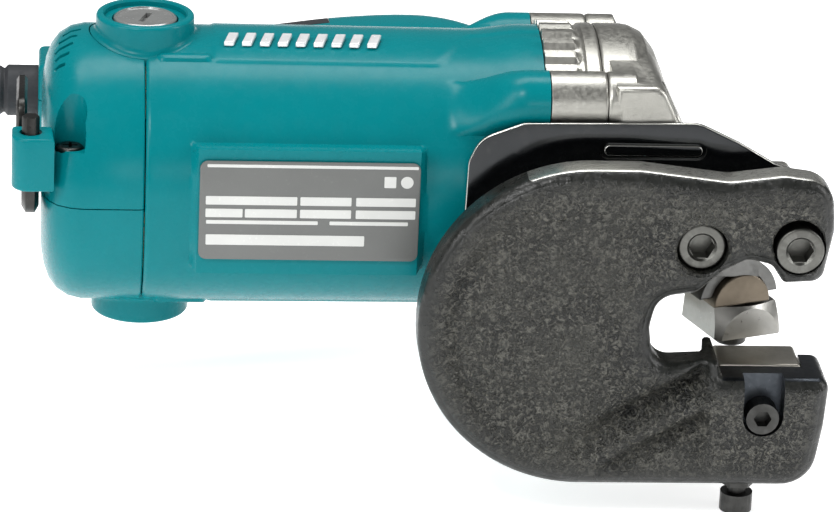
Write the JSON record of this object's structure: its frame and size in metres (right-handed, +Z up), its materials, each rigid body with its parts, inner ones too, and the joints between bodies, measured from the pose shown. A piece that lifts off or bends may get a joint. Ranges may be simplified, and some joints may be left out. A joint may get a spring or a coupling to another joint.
{
  "type": "corded metal shear",
  "caption": "Hand-held corded straight metal shear: barrel motor, closed D-handle, geared crank head and a heavy C-shaped yoke that holds the fixed blade under a reciprocating one.",
  "frame": {"origin": "centre of the fixed blade's upper face, where the sheet rests", "axes": "+X along the motor axis in the feed direction, +Y from the yoke to the handle, +Z up along the blade's stroke"},
  "size_m": [0.2457, 0.1427, 0.117],
  "materials": {
    "teal_plastic": "moulded teal plastic, satin gloss",
    "dark_elastomer": "matte soft elastomer",
    "black_plastic": "moulded black plastic",
    "grey_label": "printed foil label",
    "chrome": "bright trim strip",
    "cast_aluminium": "die cast, lightly blasted",
    "black_cast_iron": "rough casting painted black",
    "black_chrome": "polished and blackened",
    "tool_steel": "ground and hardened",
    "black_oxide_steel": "black oxide",
    "bronze": "machined bronze, brown grey",
    "brass": "pressed brass",
    "copper_wire": "enamelled copper",
    "carbon": "pressed carbon"
  },
  "bodies": {
    "tool": {"adjusting_screw": "black_oxide_steel", "air_baffle": "black_plastic", "badge": "chrome", "brush_cap_lower": "black_plastic", "brush_cap_upper": "black_plastic", "brush_holder_lower": "brass", "brush_holder_upper": "brass", "carbon_brush_lower": "carbon", "carbon_brush_upper": "carbon", "clamp_bolt": "black_oxide_steel", "cord_guard": "dark_elastomer", "crank_bush": "bronze", "field_coil_lower": "copper_wire", "field_coil_upper": "copper_wire", "field_core": "tool_steel", "fixed_blade": "tool_steel", "flange_screw_1": "black_oxide_steel", "flange_screw_2": "black_oxide_steel", "flange_screw_3": "black_oxide_steel", "flange_screw_4": "black_oxide_steel", "front_bearing": "tool_steel", "gear_housing_front": "cast_aluminium", "gear_housing_rear": "cast_aluminium", "grip_pad_lower": "dark_elastomer", "grip_pad_upper": "dark_elastomer", "handle_lower_half": "teal_plastic", "handle_screw_1": "black_oxide_steel", "handle_screw_2": "black_oxide_steel", "handle_screw_3": "black_oxide_steel", "handle_screw_4": "black_oxide_steel", "handle_upper_half": "teal_plastic", "lock_nut": "black_oxide_steel", "motor_housing": "teal_plastic", "polished_plate": "black_chrome", "rating_plate": "grey_label", "rear_bearing": "tool_steel", "switch_body": "black_plastic", "trigger_pin": "tool_steel", "yoke": "black_cast_iron", "yoke_bolt_1": "black_oxide_steel", "yoke_bolt_2": "black_oxide_steel"},
    "rotor": {"armature_shaft": "tool_steel", "armature_core": "tool_steel", "armature_winding_rear": "copper_wire", "armature_winding_front": "copper_wire", "commutator": "copper_wire", "cooling_fan": "black_plastic"},
    "intermediate_shaft": {"intermediate_gear": "tool_steel", "intermediate_pinion": "tool_steel"},
    "crank": {"crank_gear": "tool_steel", "crankshaft": "tool_steel"},
    "ram_group": {"ram": "tool_steel", "blade_shank": "bronze", "moving_blade": "tool_steel", "moving_blade_bolt": "black_oxide_steel"},
    "trigger_body": {"trigger": "black_plastic"},
    "lock_body": {"lock_button": "black_plastic"},
    "key_4mm": {"hex_key_4mm": "black_oxide_steel"},
    "key_2_5mm": {"hex_key_2_5mm": "black_oxide_steel"}
  },
  "joints": [
    {"name": "motor_spin", "type": "hinge", "parent": "tool", "child": "rotor", "pos_m": [-0.1585, 0.0395, 0.0364], "axis": [1, 0, 0], "continuous": true},
    {"name": "intermediate_spin", "type": "hinge", "parent": "tool", "child": "intermediate_shaft", "pos_m": [-0.0405, 0.03528, 0.01973], "axis": [1, 0, 0], "continuous": true},
    {"name": "crank_spin", "type": "hinge", "parent": "tool", "child": "crank", "pos_m": [-0.0185, 0.0195, 0.0284], "axis": [1, 0, 0], "continuous": true},
    {"name": "ram_stroke", "type": "slide", "parent": "tool", "child": "ram_group", "axis": [0, 0, 1], "range_m": [-0.0008, 0.002]},
    {"name": "trigger_pull", "type": "hinge", "parent": "tool", "child": "trigger_body", "pos_m": [-0.0955, 0.102, 0.0364], "axis": [0, 0, -1], "range_deg": [0, 8], "stiffness_Nm_per_rad": 0.4, "springref_deg": -5.73},
    {"name": "lock_press", "type": "slide", "parent": "tool", "child": "lock_body", "axis": [0, 0, 1], "range_m": [0, 0.0025], "stiffness_N_per_m": 200, "springref_m": -0.002},
    {"name": "key_4mm_pull", "type": "slide", "parent": "tool", "child": "key_4mm", "axis": [0, 0, -1], "range_m": [0, 0.03]},
    {"name": "key_2_5mm_pull", "type": "slide", "parent": "tool", "child": "key_2_5mm", "axis": [0, 0, 1], "range_m": [0, 0.024]}
  ],
  "couplings": [
    {"joint": "intermediate_spin", "follows": "motor_spin", "ratio": -0.19444},
    {"joint": "crank_spin", "follows": "motor_spin", "ratio": 0.085556}
  ]
}
